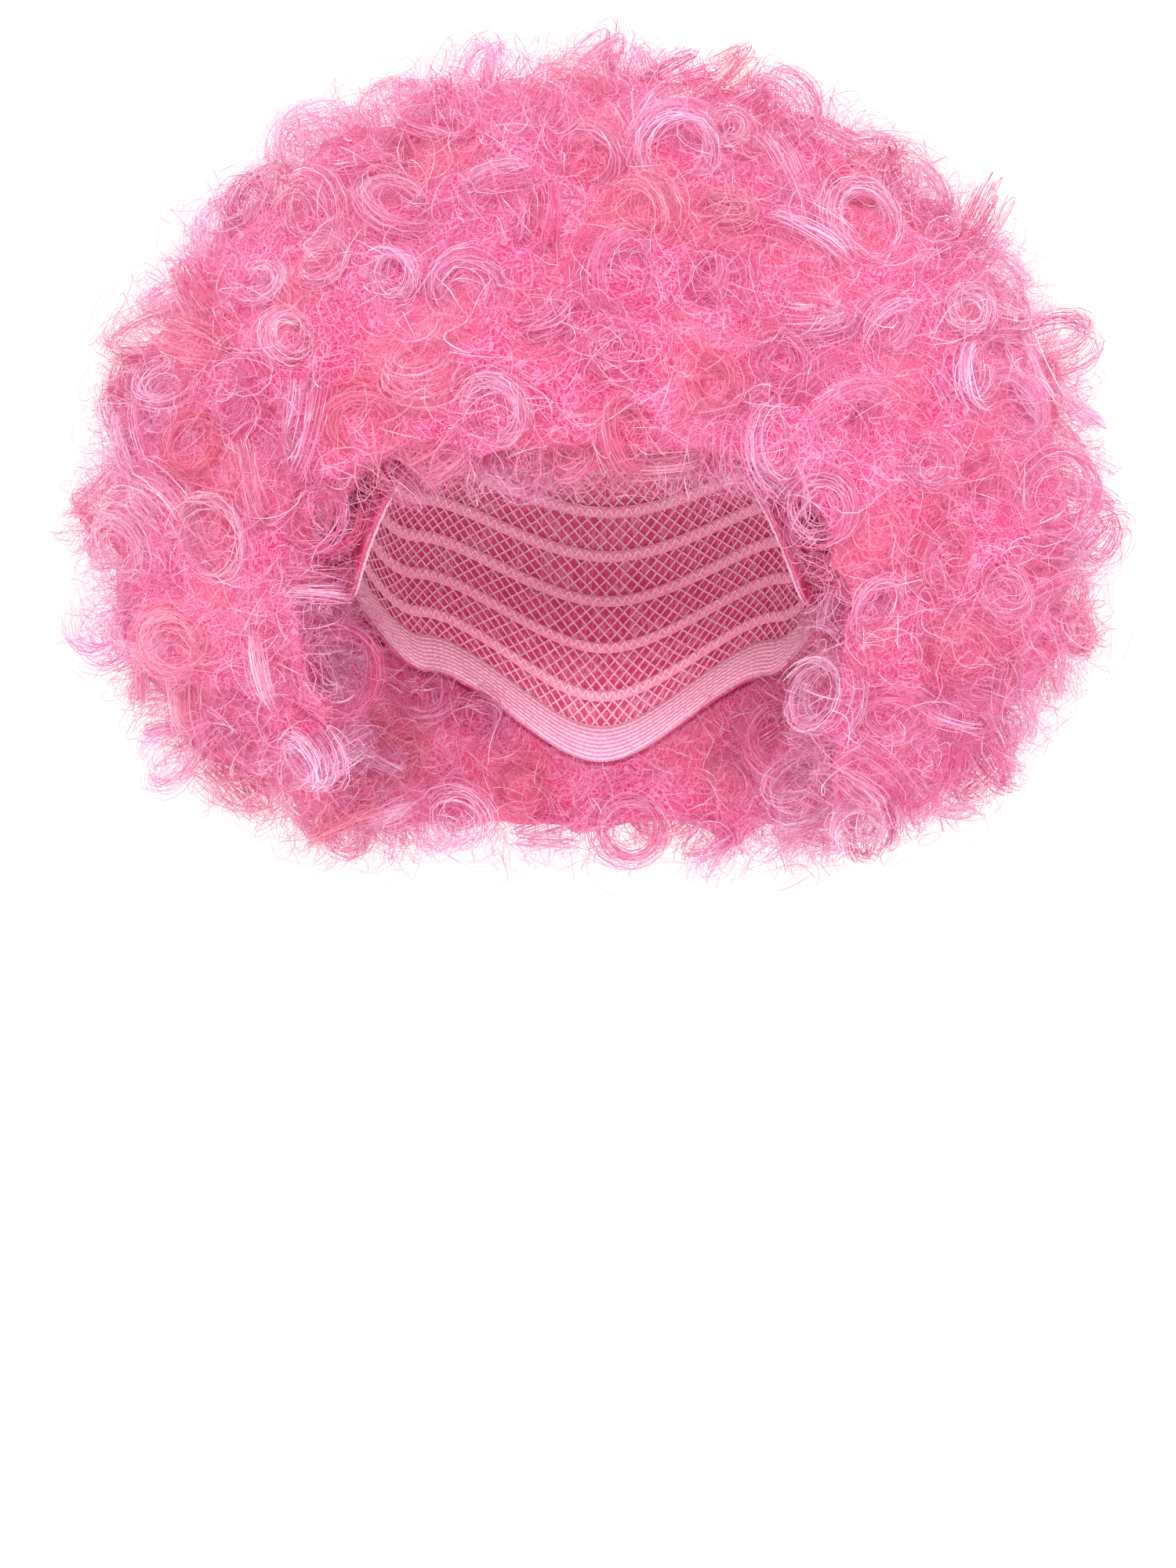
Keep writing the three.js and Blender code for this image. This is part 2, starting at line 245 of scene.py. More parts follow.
def mesh_of(name, vertices, faces):
    """A mesh from arrays of points and of faces that all have as many corners."""
    mesh = bpy.data.meshes.new(name)
    corners = faces.shape[1]
    mesh.vertices.add(len(vertices))
    mesh.vertices.foreach_set("co", vertices.astype(np.float32).ravel())
    mesh.loops.add(faces.size)
    mesh.loops.foreach_set("vertex_index", faces.astype(np.int32).ravel())
    mesh.polygons.add(len(faces))
    mesh.polygons.foreach_set("loop_start", np.arange(0, faces.size, corners, dtype=np.int32))
    mesh.update(calc_edges=True)
    mesh.shade_smooth()
    return mesh


def number_on_points(mesh, name, values):
    """Keeps a number on each point, for the materials to read."""
    layer = mesh.attributes.new(name, "FLOAT", "POINT")
    layer.data.foreach_set("value", np.asarray(values, np.float32).ravel())


class Strands:
    """Curved ribbons with as many points each, as (ribbons, points, 3). Each lies in a row of
    the bake map: a hair is one thin pointed fibre of its row, and a thread fills its row."""

    def __init__(self, paths, facings, widths, rows, threads=False, arch=0.0):
        self.paths = paths
        self.facings = facings
        self.widths = widths
        self.rows = rows
        self.threads = threads
        self.arch = arch  # height across its width, as a share of the width

    def chosen(self, which):
        parts = (self.paths, self.facings, self.widths, self.rows)
        return Strands(*(part[which] for part in parts), self.threads, self.arch)

    def arrays(self):
        """Points, quads, and the place of each point along the strand and across the rows."""
        count, points = self.paths.shape[:2]
        lanes = np.linspace(-1, 1, 3 if self.arch else 2)
        across = unit(np.cross(np.gradient(self.paths, axis=1), self.facings))
        wave = np.sin(np.linspace(*HAIR_TAPER, points) * math.pi)
        taper = 1.0 if self.threads else wave ** 0.5
        half = (self.widths[:, None] * taper / 2)[..., None]
        vertices = np.stack([
            self.paths + half * (across * lane + self.facings * 2 * self.arch * (1 - lane ** 2))
            for lane in lanes
        ], axis=2)
        first = np.arange(count)[:, None, None] * points * len(lanes)
        first = first + np.arange(points - 1)[:, None] * len(lanes) + np.arange(len(lanes) - 1)
        quads = np.stack([first, first + 1, first + len(lanes) + 1, first + len(lanes)], axis=-1)
        along = np.linspace(*MAP_LENGTH, points)[:, None]
        along = np.broadcast_to(along, (count, points, len(lanes)))
        if self.threads:
            lane_rows = 0.5 + THREAD_REACH * lanes
        else:
            lane_rows = between(HAIR_PLACE, (count, 1, 1)) + HAIR_REACH * lanes
        rows = np.broadcast_to(self.rows[:, None, None] + lane_rows, along.shape)
        return vertices.reshape(-1, 3), quads.reshape(-1, 4), along.ravel(), rows.ravel()


def strands_mesh(name, groups, row_count):
    """One mesh of several groups of strands, with a bake map of so many rows."""
    made = [group.arrays() for group in groups if len(group.paths)]
    starts = np.cumsum([0] + [len(part[0]) for part in made[:-1]])
    vertices = np.concatenate([part[0] for part in made])
    quads = np.concatenate([part[1] + start for part, start in zip(made, starts)])
    along = np.concatenate([part[2] for part in made])
    rows = np.concatenate([part[3] for part in made]) / row_count
    mesh = mesh_of(name, vertices, quads)
    number_on_points(mesh, "along", along)
    number_on_points(mesh, "row", rows)
    bake_map = mesh.uv_layers.new(name="OFBake")
    corners = quads.ravel()
    bake_map.data.foreach_set("uv", np.stack([along[corners], rows[corners]], -1).ravel())
    return mesh


def hair_rows(paleness, places):
    """The row of each hair, by its paleness from 0 to 1 and the dye's warmth at its place."""
    shades = np.round(np.clip(paleness, 0, 1) * (SHADES - 1))
    patches = np.array([noise.noise(Vector(place) / CORAL_PATCH) for place in places])
    warmth = np.clip(WARMTH_GAIN * patches, 0, WARMTH_MOST) * (WARMTHS - 1)
    return shades + SHADES * np.floor(warmth + rng.uniform(0, 1, len(places)))


# Cap

def eased(share):
    """A share from 0 to 1 that starts and ends slowly."""
    share = np.clip(share, 0, 1)
    return share * share * (3 - 2 * share)


def head_points(turns, drops):
    """Points of the head, by turn from the face and drop from its top."""
    dome = np.minimum(drops / TEMPLE_LEVEL, 1)
    shrink = np.sqrt(1 - (1 - dome) ** 2)
    tuck = eased((drops - TEMPLE_LEVEL) / (NAPE_DROP - TEMPLE_LEVEL))
    half_width = (HEAD_WIDTH + (JAW_WIDTH - HEAD_WIDTH) * tuck) / 2
    half_length = HEAD_LENGTH / 2 - np.where(np.cos(turns) < 0, NAPE_TUCK * tuck, 0)
    across = shrink * half_width * np.sin(turns)
    return np.stack([across, -shrink * half_length * np.cos(turns), -drops], axis=-1)


def head_normals(turns, drops):
    """Directions out of the head, from its slopes over a small step and slip."""
    step = 0.02
    slip = 0.05 * MM
    drops = np.maximum(drops, 2 * slip)
    around = head_points(turns + step, drops) - head_points(turns - step, drops)
    down = head_points(turns, drops + slip) - head_points(turns, drops - slip)
    return unit(np.cross(down, around))


def cap_points(turns, drops, offset):
    """Points on the cap, offset out from the head."""
    turns, drops = np.broadcast_arrays(turns, drops)
    return head_points(turns, drops) + head_normals(turns, drops) * np.asarray(offset)[..., None]


def hem_drops(turns):
    """Drop of the cap's hem at each turn."""
    folded = np.abs((turns + math.pi) % (2 * math.pi) - math.pi)
    row = np.clip(np.searchsorted(HEM_TURNS, folded) - 1, 0, len(HEM_TURNS) - 2)
    share = (folded - HEM_TURNS[row]) / (HEM_TURNS[row + 1] - HEM_TURNS[row])
    return HEM_DROPS[row] + (HEM_DROPS[row + 1] - HEM_DROPS[row]) * eased(share)


def ring_grid(rings, sides, closed):
    """Quads between rings that follow each other, the last joined to the first if closed."""
    ring = np.arange(rings if closed else rings - 1)[:, None]
    side = np.arange(sides)[None, :]
    after = (ring + 1) % rings * sides
    beside = (side + 1) % sides
    here = ring * sides
    return np.stack([here + side, after + side, after + beside, here + beside], -1).reshape(-1, 4)


def cap_lining():
    """The cap's wall."""
    turns = np.linspace(0, 2 * math.pi, CAP_SIDES, endpoint=False)
    shares = np.linspace(DOME_TOP, 1, CAP_ROWS) ** DOME_CROWDING
    drops = hem_drops(turns)[None, :] * shares[:, None]
    outer = cap_points(turns[None, :], drops, CAP_WALL)
    inner = cap_points(turns[None, :], drops, 0.0)[::-1]
    points = np.concatenate([outer, inner]).reshape(-1, 3)
    return mesh_of("cap_lining", points, ring_grid(2 * CAP_ROWS, CAP_SIDES, False))


def threads_mesh(name, families, width, arch=0.0):
    """Threads inside the cap, in families of turns, drops and an inset. Each has a row of the
    bake map to itself."""
    groups = []
    first_row = 0
    for turns, drops, inset in families:
        rows = first_row + np.arange(len(turns))
        widths = np.full(len(turns), width)
        facings = -head_normals(turns, drops)
        paths = cap_points(turns, drops, -inset)
        groups.append(Strands(paths, facings, widths, rows, True, arch))
        first_row += len(turns)
    return strands_mesh(name, groups, first_row)


def cap_net():
    """The stretch net: two families of threads that cross."""
    starts = np.linspace(0, 2 * math.pi, NET_THREADS, endpoint=False)[:, None]
    families = []
    for hand, inset in zip((1, -1), NET_INSETS):
        way = np.linspace(0, 1, NET_POINTS)[None, :]
        turns = starts + hand * NET_LEAN * NAPE_DROP * way
        hem = hem_drops(turns) - ELASTIC_WIDTH / 2
        drops = NET_TOP + (hem - NET_TOP) * way
        families.append((turns, drops, inset))
    return threads_mesh("cap_net", families, NET_WIDTH)


def weft_turns(points):
    return np.tile(np.linspace(0, 2 * math.pi, points), (WEFTS, 1))


def weft_drops(turns):
    share = ((np.arange(WEFTS) + 1) / (WEFTS + WEFT_MARGIN))[:, None]
    return (hem_drops(turns) - ELASTIC_WIDTH) * share ** WEFT_CROWDING


def cap_wefts():
    """Tapes that the hair is sewn on in rows."""
    turns = weft_turns(WEFT_POINTS)
    families = [(turns, weft_drops(turns), WEFT_INSET)]
    return threads_mesh("cap_wefts", families, WEFT_WIDTH, WEFT_ARCH)


def cap_stitches():
    """The zigzag that sews each tape to the net."""
    turns = weft_turns(STITCH_POINTS)
    zigzag = np.arcsin(np.sin(STITCHES * turns)) * 2 / math.pi
    drops = weft_drops(turns) + STITCH_REACH * zigzag
    return threads_mesh("cap_stitches", [(turns, drops, STITCH_INSET)], STITCH_WIDTH)


def elastic_band():
    """The elastic in the hem, gathered a little by its own pull."""
    turns = np.linspace(0, 2 * math.pi, ELASTIC_SIDES, endpoint=False)
    hem = hem_drops(turns)
    gather = GATHER_DEPTH * (0.5 + 0.5 * np.sin(GATHERS * turns))
    rings = []
    across = []
    for place, depth in ELASTIC_OUTLINE:
        inset = -SEAT_GAP - depth * (ELASTIC_WALL - gather)
        rings.append(cap_points(turns, hem - ELASTIC_WIDTH * (1 - place), inset))
        across.append(np.full(ELASTIC_SIDES, float(place)))
    points = np.concatenate(rings)
    mesh = mesh_of("elastic_band", points, ring_grid(len(rings), ELASTIC_SIDES, True))
    number_on_points(mesh, "across", np.concatenate(across))
    return mesh


# The hair's form

def hair_form():
    """The solids of the hair as one closed form, smoothed until the CAD's ringlets are low
    swellings. Returns its points, normals and triangles."""
    vertices = []
    faces = []
    for name in HAIR:
        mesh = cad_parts[name].data
        first = len(vertices)
        vertices += [vertex.co.copy() for vertex in mesh.vertices]
        faces += [[first + index for index in face.vertices] for face in mesh.polygons]
    source = bpy.data.meshes.new("form_source")
    source.from_pydata(vertices, [], faces)
    form = new_object("form_source", source)
    remesh = form.modifiers.new("remesh", "REMESH")
    remesh.mode = "VOXEL"
    remesh.voxel_size = FORM_VOXEL
    smooth = form.modifiers.new("smooth", "SMOOTH")
    smooth.factor = 0.5
    smooth.iterations = FORM_SMOOTHING
    depsgraph = bpy.context.evaluated_depsgraph_get()
    shaped = bpy.data.meshes.new_from_object(form.evaluated_get(depsgraph))
    bpy.data.objects.remove(form)
    shaped.calc_loop_triangles()
    points = np.zeros(len(shaped.vertices) * 3, np.float32)
    shaped.vertices.foreach_get("co", points)
    normals = np.zeros(len(shaped.vertices) * 3, np.float32)
    shaped.vertices.foreach_get("normal", normals)
    triangles = np.zeros(len(shaped.loop_triangles) * 3, np.int32)
    shaped.loop_triangles.foreach_get("vertices", triangles)
    bpy.data.meshes.remove(shaped)
    points = points.reshape(-1, 3).astype(float)
    normals = normals.reshape(-1, 3).astype(float)
    return points, normals, triangles.reshape(-1, 3)


def distance_to_cap(points):
    """How far each point lies from the net cap."""
    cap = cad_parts["net_cap"].data
    corners = [vertex.co for vertex in cap.vertices]
    tree = BVHTree.FromPolygons(corners, [list(face.vertices) for face in cap.polygons])
    return np.array([tree.find_nearest(Vector(point))[3] for point in points])


class Form:
    """The hair's form, on which points are picked at random. Its hair is open from 0, against
    the cap, to 1, far from it."""

    def __init__(self):
        self.points, self.normals, self.triangles = hair_form()
        cap_gap = distance_to_cap(self.points) - CAP_NEAR
        turns = np.arctan2(self.points[:, 0], -self.points[:, 1])
        below_hem = -self.points[:, 2] - hem_drops(turns)
        self.open = np.clip(np.maximum(cap_gap, below_hem) / (2 * CAP_NEAR), 0, 1)
        corners = self.points[self.triangles]
        sides = np.cross(corners[:, 1] - corners[:, 0], corners[:, 2] - corners[:, 0])
        corners_open = self.open[self.triangles]
        weights = np.linalg.norm(sides, axis=1) * (corners_open > 0).all(axis=1)
        self.weights = weights / weights.sum()
        weights = weights * (corners_open < EDGE_OPEN).all(axis=1)
        self.edge_weights = weights / weights.sum()

    def scatter(self, count, weights):
        """Random points of the form, by the weight of each triangle, and the normals there."""
        picked = self.triangles[rng.choice(len(self.triangles), count, p=weights)]
        shares = rng.dirichlet([1, 1, 1], count)[..., None]
        points = (self.points[picked] * shares).sum(axis=1)
        normals = unit((self.normals[picked] * shares).sum(axis=1))
        return points, normals

    def spaced(self, spacing):
        """Random points that stay a spacing apart, and the normals there."""
        points, normals = self.scatter(RINGLET_TRIES, self.weights)
        kept = np.zeros((0, 3))
        chosen = []
        for index, point in enumerate(points):
            if len(kept) and np.min(((kept - point) ** 2).sum(axis=1)) < spacing ** 2:
                continue
            kept = np.vstack([kept, point])
            chosen.append(index)
        return points[chosen], normals[chosen]


def smoothed(points, triangles, times):
    """The points of a closed mesh, each moved halfway to the mean of its neighbours."""
    for _ in range(times):
        total = np.zeros_like(points)
        for corner in range(3):
            np.add.at(total, triangles[:, corner - 1], points[triangles[:, corner]])
        count = np.bincount(triangles.ravel(), minlength=len(points))
        points = (points + total / count[:, None]) / 2
    return points


def deep_hair(form, coils):
    """The hair behind the ringlets, where single strands can no longer be told apart. It
    swells under each ringlet, whose radius it keeps for the fibres drawn round it."""
    lumps = np.array([noise.noise(Vector(point) / LUMP_SIZE) for point in form.points])
    nearest, radius = coils.nearest(form.points)
    share = radius / coils.radii[nearest]
    ridge = np.exp(-((share - RIDGE_PLACE) / RIDGE_SPREAD) ** 2)
    inset = CAP_CLEARANCE + (DEEP_HAIR - CAP_CLEARANCE) * form.open
    inset = inset + (DEEP_LUMPS * lumps - COIL_RELIEF * ridge) * form.open
    points = form.points - form.normals * inset[:, None]
    points = smoothed(points, form.triangles, DEEP_SMOOTHING)
    mesh = mesh_of("deep_hair", points, form.triangles)
    number_on_points(mesh, "ring", radius)
    # The ridge is kept for the material, which paints the ringlets' ridges lighter as painted
    # light.
    number_on_points(mesh, "ridge", ridge * form.open)
    return new_object("deep_hair", mesh)


# Strands

class Ringlets:
    """Locks that coil outwards from deep in the hair."""

    def __init__(self, form):
        self.centres, normals = form.spaced(RINGLET_SPACING)
        count = len(self.centres)
        self.axes = tilted(normals, RINGLET_TILT)
        self.normals = normals
        self.radii = between(RINGLET_RADIUS, count)
        self.turns = between(RINGLET_TURNS, count)
        self.depths = between(RINGLET_DEPTH, count)
        self.rises = between(RINGLET_RISE, count)
        self.tips = between(RINGLET_TIP, count)
        self.locks = between(LOCK_RADIUS, count)
        self.first_turn = rng.uniform(0, 2 * math.pi, count)
        self.hand = rng.choice([-1.0, 1.0], count)
        self.clump_angle = rng.uniform(0, 2 * math.pi, (count, CLUMPS))
        self.clump_share = between(CLUMP_PLACE, (count, CLUMPS))
        self.paleness = between(RINGLET_PALENESS, count)

    def nearest(self, points):
        """The nearest ringlet to each point, and how far the point lies from its axis."""
        tree = KDTree(len(self.centres))
        for index, centre in enumerate(self.centres):
            tree.insert(centre, index)
        tree.balance()
        nearest = np.array([tree.find(point)[1] for point in points])
        way = points - self.centres[nearest]
        axes = self.axes[nearest]
        beside = way - axes * (way * axes).sum(axis=1, keepdims=True)
        return nearest, np.linalg.norm(beside, axis=1)

    def strands(self):
        """Strands near the clumps of each ringlet, each along a random part of its coil."""
        of = np.repeat(np.arange(len(self.centres)), STRANDS_PER_RINGLET)
        total = len(of)
        clump = np.arange(total) % CLUMPS
        angle = self.clump_angle[of, clump] + rng.normal(0, ANGLE_SPREAD, total)
        share = self.clump_share[of, clump] + rng.normal(0, SHARE_SPREAD, total)
        covered = np.minimum(between(STRAND_TURNS, total) / self.turns[of], 1)
        begin = rng.uniform(0, 1, total) ** STRAND_START * (1 - covered)
        way = begin[:, None] + covered[:, None] * np.linspace(0, 1, STRAND_POINTS)
        turn = self.hand[of, None] * 2 * math.pi * self.turns[of, None] * way
        turn = turn + self.first_turn[of, None]
        radius = self.radii[of, None] * (1 + (self.tips[of, None] - 1) * way ** TIP_POWER)
        radius = radius * rng.normal(1, RADIUS_SPREAD, (total, 1))
        height = (self.depths + self.rises)[of, None] * way ** RISE_POWER
        height = height - self.depths[of, None]
        twist = angle[:, None] + STRAND_TWIST * way
        reach = self.locks[of, None] * np.clip(share, 0, LOCK_MOST)[:, None]
        reach = reach * (LOCK_ENDS + LOCK_SWELL * np.sin(math.pi * way))
        u, v = square_to(self.axes)
        out = self.axes[of][:, None, :]
        around = u[of][:, None] * np.cos(turn)[..., None]
        around += v[of][:, None] * np.sin(turn)[..., None]
        side = around * np.cos(twist)[..., None] + out * np.sin(twist)[..., None]
        centre = self.centres[of] + rng.normal(0, CENTRE_SPREAD, (total, 3))
        paths = centre[:, None] + around * radius[..., None] + out * height[..., None]
        paths += side * reach[..., None] + wobble(total, STRAND_POINTS)
        ways = (side, out, around, self.normals[of][:, None])
        facings = sum(weight * way for weight, way in zip(STRAND_FACING, ways))
        paleness = self.paleness[of] + rng.normal(0, STRAND_PALENESS, total)
        rows = hair_rows(paleness, self.centres[of])
        strands = Strands(paths, unit(facings), between(STRAND_WIDTH, total), rows)
        return strands, self.centres[of]


def wobble(count, points):
    """Slow random wandering of strands."""
    way = np.linspace(0, 1, points)[None, :, None]
    wander = np.zeros((count, points, 3))
    for waves in WANDER_WAVES:
        phase = rng.uniform(0, 2 * math.pi, (count, 1, 3))
        reach = rng.normal(0, WANDER / waves ** 1.5, (count, 1, 3))
        wander += reach * np.sin(2 * math.pi * waves * way + phase)
    return wander


def loose_curls(form, weights, count, points, radius_span, turn_span, top_span, width_span,
                paleness):
    """Single strands curled round random axes, whose highest points lie within top_span of the
    form. The lower a curl lies, the darker its shade, as painted shade deep in the hair."""
    centres, normals = form.scatter(count, weights)
    axes = tilted(normals, CURL_TILT)
    radii = between(radius_span, count)
    swept = 2 * math.pi * between(turn_span, count) * rng.choice([-1.0, 1.0], count)
    lean = np.sqrt(1 - np.clip((axes * normals).sum(axis=1), -1, 1) ** 2)
    tops = between(top_span, count)
    middle = centres + normals * (tops - radii * lean)[:, None]
    u, v = square_to(axes)
    begin = rng.uniform(0, 2 * math.pi, count)
    way = np.linspace(0, 1, points)
    turn = begin[:, None] + swept[:, None] * way
    opening = between((-CURL_OPENING, CURL_OPENING), (count, 1))
    opening = 1 + opening * (way - 0.5)
    around = u[:, None] * np.cos(turn)[..., None] + v[:, None] * np.sin(turn)[..., None]
    pitch = rng.normal(0, CURL_PITCH, (count, 1)) * (way - 0.5)
    paths = middle[:, None] + around * (radii[:, None] * opening)[..., None]
    paths += axes[:, None] * pitch[..., None]
    paths += wobble(count, points)
    facings = unit(normals[:, None] + CURL_FACING * around)
    # Painted shade: the lower a curl lies in the hair, the darker its row.
    height = (tops - top_span[0]) / (top_span[1] - top_span[0])
    shade = paleness[0] + (paleness[1] - paleness[0]) * height
    shade = shade + rng.normal(0, CURL_PALENESS, count)
    rows = hair_rows(shade, middle)
    return Strands(paths, facings, between(width_span, count), rows), middle


# Materials

class Nodes:
    """A material whose nodes are added and linked in short calls."""

    def __init__(self, name):
        self.material = bpy.data.materials.new(name)
        self.material.use_nodes = True
        self.tree = self.material.node_tree
        self.shader = self.tree.nodes["Principled BSDF"]

    def add(self, kind, **settings):
        node = self.tree.nodes.new(kind)
        for key, value in settings.items():
            setattr(node, key, value)
        return node

    def link(self, output, socket):
        self.tree.links.new(output, socket)

    def fill(self, socket, value):
        """Gives the socket a number, a colour or a node's output."""
        if isinstance(value, (int, float)):
            socket.default_value = value
        elif isinstance(value, tuple):
            socket.default_value = (*value, 1)
        else:
            self.link(value, socket)

    def put(self, title, value):
        """Fills the shader's socket of this title."""
        self.fill(self.shader.inputs[title], value)

    def attribute(self, name):
        return self.add("ShaderNodeAttribute", attribute_name=name).outputs["Fac"]

    def math(self, operation, first, second=0.0):
        node = self.add("ShaderNodeMath", operation=operation)
        self.fill(node.inputs[0], first)
        self.fill(node.inputs[1], second)
        return node.outputs[0]

    def sloped(self, output, slope, start):
        """The output times a slope, and start added."""
        return self.math("ADD", self.math("MULTIPLY", output, slope), start)

    def weighted(self, outputs, weights):
        """The sum of the outputs, each times its weight."""
        parts = [self.math("MULTIPLY", *pair) for pair in zip(outputs, weights)]
        total = parts[0]
        for part in parts[1:]:
            total = self.math("ADD", total, part)
        return total

    def ramp(self, factor, stops):
        node = self.add("ShaderNodeValToRGB")
        elements = node.color_ramp.elements
        while len(elements) < len(stops):
            elements.new(0.5)
        for element, (place, colour) in zip(elements, stops):
            element.position = place
            element.color = (*colour, 1)
        self.link(factor, node.inputs["Fac"])
        return node.outputs["Color"]

    def mix(self, factor, first, second):
        """From the first colour to the second. The node's colours are its sockets 6 and 7."""
        node = self.add("ShaderNodeMix", data_type="RGBA")
        for index, value in ((0, factor), (6, first), (7, second)):
            self.fill(node.inputs[index], value)
        return node.outputs[2]

    def noise(self, size, detail=2.0, distortion=0.0):
        """Noise whose features are about size metres wide, or as long as size says each way."""
        place = self.add("ShaderNodeTexCoord").outputs["Object"]
        node = self.add("ShaderNodeTexNoise")
        if isinstance(size, tuple):
            stretch = self.add("ShaderNodeMapping", vector_type="POINT")
            stretch.inputs["Scale"].default_value = [1 / length for length in size]
            self.link(place, stretch.inputs["Vector"])
            place = stretch.outputs["Vector"]
            size = 1.0
        node.inputs["Scale"].default_value = 1 / size
        node.inputs["Detail"].default_value = detail
        node.inputs["Distortion"].default_value = distortion
        self.link(place, node.inputs["Vector"])
        return node.outputs["Fac"]

    def thin_lines(self, angle):
        """Lines from 0 to 1, one to each turn of the angle and thinner than the gaps."""
        wave = self.math("MAXIMUM", self.math("SINE", angle), 0.0)
        return self.math("POWER", wave, LINE_SHARPNESS)

    def let_light_through(self, share, colour):
        """Mixes a share of light that passes through thin fibres into the shader."""
        through = self.add("ShaderNodeBsdfTranslucent")
        self.link(colour, through.inputs["Color"])
        mixed = self.add("ShaderNodeMixShader")
        mixed.inputs["Fac"].default_value = share
        self.link(self.shader.outputs["BSDF"], mixed.inputs[1])
        self.link(through.outputs["BSDF"], mixed.inputs[2])
        self.link(mixed.outputs["Shader"], self.tree.nodes["Material Output"].inputs["Surface"])

    def bump(self, height, strength, distance):
        node = self.add("ShaderNodeBump")
        node.inputs["Strength"].default_value = strength
        node.inputs["Distance"].default_value = distance
        self.link(height, node.inputs["Height"])
        self.link(node.outputs["Normal"], self.shader.inputs["Normal"])


SHADOW_PINK = (0.6, 0.02, 0.12)
DEEP_PINK = (0.65, 0.05, 0.18)
HOT_PINK = (0.68, 0.125, 0.29)
PINK = (0.73, 0.3, 0.52)
PALE_PINK = (0.93, 0.77, 0.92)
CORAL = (0.76, 0.19, 0.23)

FIBRE_CLEARNESS = 0.4  # share of the light that passes through
FIBRE_WAVES = 5.0  # changes of a fibre's shade along a strand
FIBRE_MIDDLE = 0.44  # noise at which a fibre has its row's own shade
# The place along a strand darkens its deep roots as painted shade and lightens its tips as
# painted light.
FIBRE_TONE = (0.42, 0.56, 0.75)  # weights of place along the strand, shade and fibre
FIBRE_STOPS = [(0.05, DEEP_PINK), (0.33, HOT_PINK), (0.62, PINK), (0.98, PALE_PINK)]

LINE_SHARPNESS = 3.0
RING_PITCH = 1.6 * MM
RING_WANDER = 7 * MM
# Curved lines of the deep hair: size of the field, lines in its range, and distortion
CONTOURS = ((7 * MM, 11, 0.5), (9 * MM, 15, 1.0), (12 * MM, 24, 2.0))
# The ridge weight paints each ringlet's ridge lighter than the gaps between, as painted light and
# shade.
DEEP_TONE = (0.62, 0.46, 0.1)  # weights of lines, shadow and ridge
# Darker pinks than the strands', as painted shade deep in the hair.
DEEP_STOPS = [(0.2, SHADOW_PINK), (0.45, DEEP_PINK), (0.65, HOT_PINK), (0.95, PINK)]
DEEP_CORAL_FROM = 0.48  # noise at which coral begins
DEEP_CORAL_GAIN = 1.6

ROOTS_TONE = (0.65, 0.35)  # weights of fine and coarse lines
ROOTS_STOPS = [(0.3, (0.5, 0.03, 0.1)), (0.5, DEEP_PINK), (0.7, PINK)]
ELASTIC_RIBS = 9
ELASTIC_TONE = (0.3, 1.0)  # weights of ribs and twist
ELASTIC_STOPS = [(0.25, (0.62, 0.2, 0.34)), (0.75, (0.9, 0.52, 0.66))]


def fibre_material():
    """Curly fibre: the fine fibres of a lock, darker towards its roots deep in the hair as
    painted shade, and paler and more lilac towards its tips as painted light. Its colour follows
    the bake map alone."""
    made = Nodes("curly_fibre")
    along = made.attribute("along")
    row = made.attribute("row")
    place = made.add("ShaderNodeCombineXYZ")
    made.link(made.math("MULTIPLY", along, FIBRE_WAVES), place.inputs["X"])
    made.link(made.math("MULTIPLY", row, SHADES * WARMTHS * FIBRES), place.inputs["Y"])
    fibres = made.add("ShaderNodeTexNoise", noise_dimensions="2D")
    fibres.inputs["Scale"].default_value = 1.0
    fibres.inputs["Detail"].default_value = 1.0
    made.link(place.outputs["Vector"], fibres.inputs["Vector"])
    fibre = fibres.outputs["Fac"]
    block = made.math("MULTIPLY", row, WARMTHS)
    shade = made.math("FRACT", block)
    warmth = made.math("FLOOR", block)
    contrast = made.math("SUBTRACT", fibre, FIBRE_MIDDLE)
    # Painted shade and light by depth: darker at a strand's deep roots, paler at its tips.
    tone = made.weighted((along, shade, contrast), FIBRE_TONE)
    coral = made.math("MULTIPLY", warmth, CORAL_MOST / (WARMTHS - 1))
    colour = made.mix(coral, made.ramp(tone, FIBRE_STOPS), CORAL)
    made.put("Base Color", colour)
    made.put("Roughness", made.sloped(fibre, -0.35, 0.45))
    made.put("Specular IOR Level", 0.6)
    made.bump(fibre, 0.6, 0.25 * MM)
    made.let_light_through(FIBRE_CLEARNESS, colour)
    return made.material


